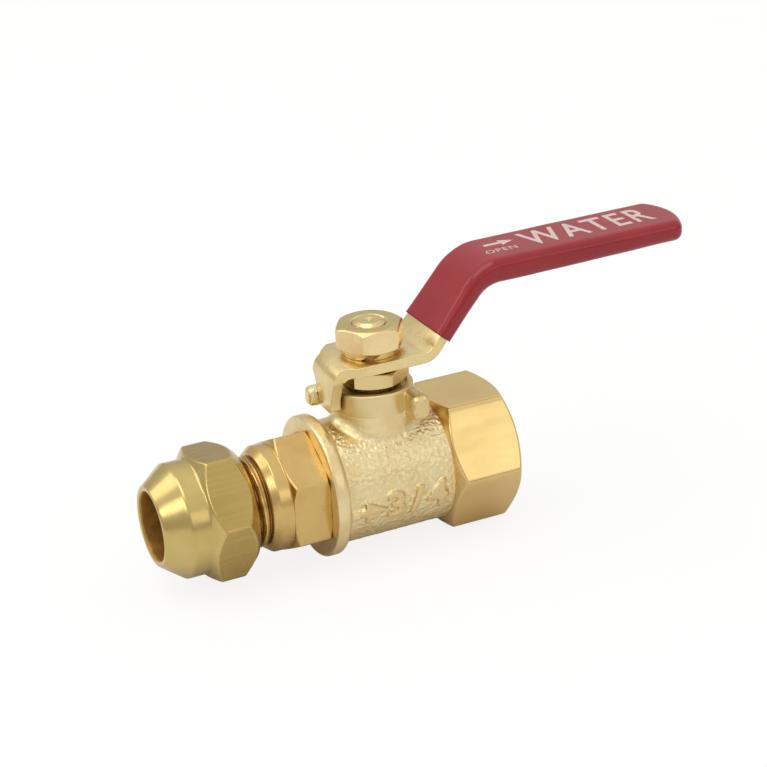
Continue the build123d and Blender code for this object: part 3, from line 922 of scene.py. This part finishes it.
# ------------------------------------------------------------------ assemble
build_casting()
build_outlet_hexagon()
build_boss_neck()
build_adaptor()
build_flare_nut()
build_stem()
build_gland()
build_lever_nut()
build_spring_washer()
build_lever()
sleeve = build_sleeve()
sleeve_end = sleeve_high.x / MM
word = wrap_text("WATER", 12.6, PRINT_RELIEF, levels=14, width=35.0, bold=0.16)
print_on(sleeve, "print_word", word, sleeve_end - 24.6, 0.0)
print_on(sleeve, "print_arrow", arrow_mesh(8.0, 4.0, PRINT_RELIEF), sleeve_end - 48.0, 2.0)
print_on(sleeve, "print_open", wrap_text("OPEN", 3.0, PRINT_RELIEF, levels=6), sleeve_end - 49.5, -2.6)

for node, material in {
    "ball": CHROME,
    "seat_ring_outlet": PTFE,
    "seat_ring_inlet": PTFE,
    "stem_thrust_washer": PTFE,
    "packing_ring_lower": PTFE,
    "packing_ring_middle": PTFE,
    "packing_ring_upper": PTFE,
    "body_seal_ring": FIBRE,
    "gland_washer": STEM_BRASS,
}.items():
    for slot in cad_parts[node].material_slots:
        slot.material = material


# ------------------------------------------------------- floor, light, camera
def build_floor():
    size = 3.0
    data = bpy.data.meshes.new("floor")
    corners = [(-size, -size), (size, -size), (size, size), (-size, size)]
    data.from_pydata([(x, y, floor_height) for x, y in corners], [], [(0, 1, 2, 3)])
    floor = bpy.data.objects.new("floor", data)
    bpy.context.scene.collection.objects.link(floor)
    look = Look("floor_paper", (0.80, 0.795, 0.79), 0.9, 0.0)
    look.tint(look.noise(60, 2), 0.4, 0.7, (0.805, 0.80, 0.795))
    # The camera sees the paper lit through from below, so the object's shadow is faint.
    glow = look.add("Emission", Color=(1, 0.998, 0.995, 1), Strength=1.02)
    veil = look.add("MixShader", {1: look.shader.outputs["BSDF"], 2: glow.outputs["Emission"]}, Fac=0.84)
    seen = look.add("MixShader", {
        0: look.add("LightPath").outputs["Is Camera Ray"],
        1: look.shader.outputs["BSDF"],
        2: veil.outputs["Shader"],
    })
    look.tree.links.new(seen.outputs["Shader"], look.tree.nodes["Material Output"].inputs["Surface"])
    data.materials.append(look.material)


def area_light(name, place, target, size, power):
    data = bpy.data.lights.new(name, "AREA")
    data.shape = "RECTANGLE"
    data.size, data.size_y = size
    data.energy = power
    light = bpy.data.objects.new(name, data)
    light.location = place
    light.rotation_euler = (Vector(target) - Vector(place)).to_track_quat("-Z", "Y").to_euler()
    bpy.context.scene.collection.objects.link(light)


def build_world():
    """Light tent: bright overhead, dimmer towards the horizon and the front."""
    world = bpy.data.worlds.new("studio")
    bpy.context.scene.world = world
    world.use_nodes = True
    tree = world.node_tree
    background = tree.nodes["Background"]
    coordinates = tree.nodes.new("ShaderNodeTexCoord")
    split = tree.nodes.new("ShaderNodeSeparateXYZ")
    fade = tree.nodes.new("ShaderNodeValToRGB")
    tree.links.new(coordinates.outputs["Generated"], split.inputs["Vector"])
    tree.links.new(split.outputs["Z"], fade.inputs["Fac"])
    tree.links.new(fade.outputs["Color"], background.inputs["Color"])
    stops = fade.color_ramp.elements
    stops[0].position, stops[0].color = 0.0, (0.54, 0.525, 0.49, 1)
    stops[1].position, stops[1].color = 0.75, (0.95, 0.95, 0.95, 1)
    middle = stops.new(0.35)
    middle.color = (0.68, 0.675, 0.67, 1)
    background.inputs["Strength"].default_value = 1.0


CAMERA_PLACE = Vector((-215.0, -413.1, 221.4)) * MM
CAMERA_AZIMUTH, CAMERA_DROP, CAMERA_ROLL = (math.radians(v) for v in (24.30, 23.75, -3.12))
CAMERA_LENS = 97.63


def build_camera():
    forward = Vector((
        math.sin(CAMERA_AZIMUTH) * math.cos(CAMERA_DROP),
        math.cos(CAMERA_AZIMUTH) * math.cos(CAMERA_DROP),
        -math.sin(CAMERA_DROP),
    ))
    right = Vector((math.cos(CAMERA_AZIMUTH), -math.sin(CAMERA_AZIMUTH), 0))
    up = right.cross(forward)
    rolled_right = right * math.cos(CAMERA_ROLL) + up * math.sin(CAMERA_ROLL)
    rolled_up = up * math.cos(CAMERA_ROLL) - right * math.sin(CAMERA_ROLL)
    data = bpy.data.cameras.new("camera")
    data.sensor_width = 36
    data.lens = CAMERA_LENS
    camera = bpy.data.objects.new("camera", data)
    turned = Matrix((rolled_right, rolled_up, -forward)).transposed().to_4x4()
    camera.matrix_world = Matrix.Translation(CAMERA_PLACE) @ turned
    bpy.context.scene.collection.objects.link(camera)
    bpy.context.scene.camera = camera


build_floor()
build_world()
centre = (ball_x * MM, 0, 0)
for name, place, size, power in (
    ("overhead", (-0.4, 0.0, 1.8), (1.5, 1.2), 8.5),
    ("left_key", (-1.5, -0.55, 1.0), (0.9, 0.45), 2.6),
    ("back_left_softbox", (-1.21, 0.95, 1.12), (0.95, 0.9), 3.2),
    ("front_softbox", (0.60, -1.45, 0.66), (0.95, 0.6), 1.25),
):
    area_light(name, place, centre, size, power)
build_camera()
bpy.context.scene.view_settings.view_transform = "Standard"
